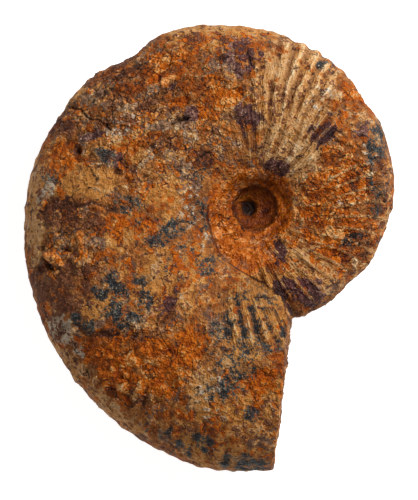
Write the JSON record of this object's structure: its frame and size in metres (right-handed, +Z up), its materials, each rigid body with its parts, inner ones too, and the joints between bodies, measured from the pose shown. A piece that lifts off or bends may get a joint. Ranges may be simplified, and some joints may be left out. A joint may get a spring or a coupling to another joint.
{
  "type": "ammonite fossil",
  "caption": "Fossil ammonite: an involute, ribbed spiral shell turned to iron-stained stone, with a small umbilicus and a broken mouth, lying on its flank.",
  "frame": {"origin": "middle of the fossil's footprint, on the surface it lies on", "axes": "+Z up through the flank, +Y along the longest diameter away from the mouth, +X from the last whorl's back towards the side the broken mouth faces"},
  "size_m": [0.0746, 0.09, 0.0307],
  "materials": {
    "fossil_stone": "matt, pitted, iron-stained stone in ochre, rust and brown"
  },
  "bodies": {
    "root": {"ammonite": "fossil_stone"}
  },
  "joints": []
}
